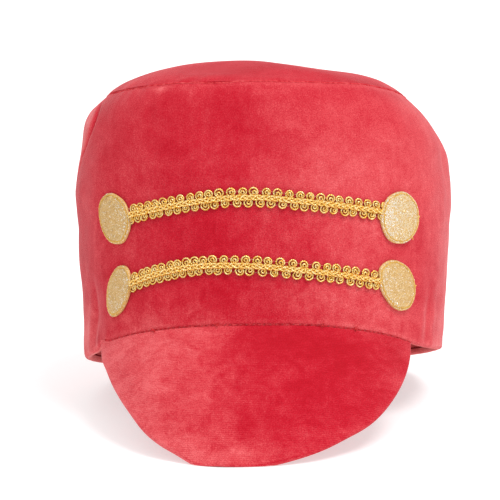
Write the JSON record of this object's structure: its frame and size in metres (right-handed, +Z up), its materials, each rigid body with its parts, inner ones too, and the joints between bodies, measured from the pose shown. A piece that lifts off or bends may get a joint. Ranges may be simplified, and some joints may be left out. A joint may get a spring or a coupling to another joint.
{
  "type": "ringmaster hat",
  "caption": "Soft red velvet cap with a puffed top and a rounded padded peak, crossed in front by looped gold braids that end under gold glitter discs",
  "frame": {"origin": "centre of the bounding box's base, on the floor that the hat rests on", "axes": "+Z up, the front and its peak face -Y, +X to the right as seen from the front, the crown leans back towards +Y"},
  "size_m": [0.1863, 0.2602, 0.1693],
  "materials": {
    "red_velvet": "short crushed pile with a pale sheen",
    "gold_braid": "twisted metallic thread, satin",
    "gold_glitter": "pale gold glitter cloth, sparkling"
  },
  "bodies": {
    "root": {"crown_band": "red_velvet", "crown_top": "red_velvet", "peak": "red_velvet", "braid_upper": "gold_braid", "braid_lower": "gold_braid", "patch_upper_left": "gold_glitter", "patch_lower_left": "gold_glitter", "patch_upper_right": "gold_glitter", "patch_lower_right": "gold_glitter"}
  },
  "joints": []
}
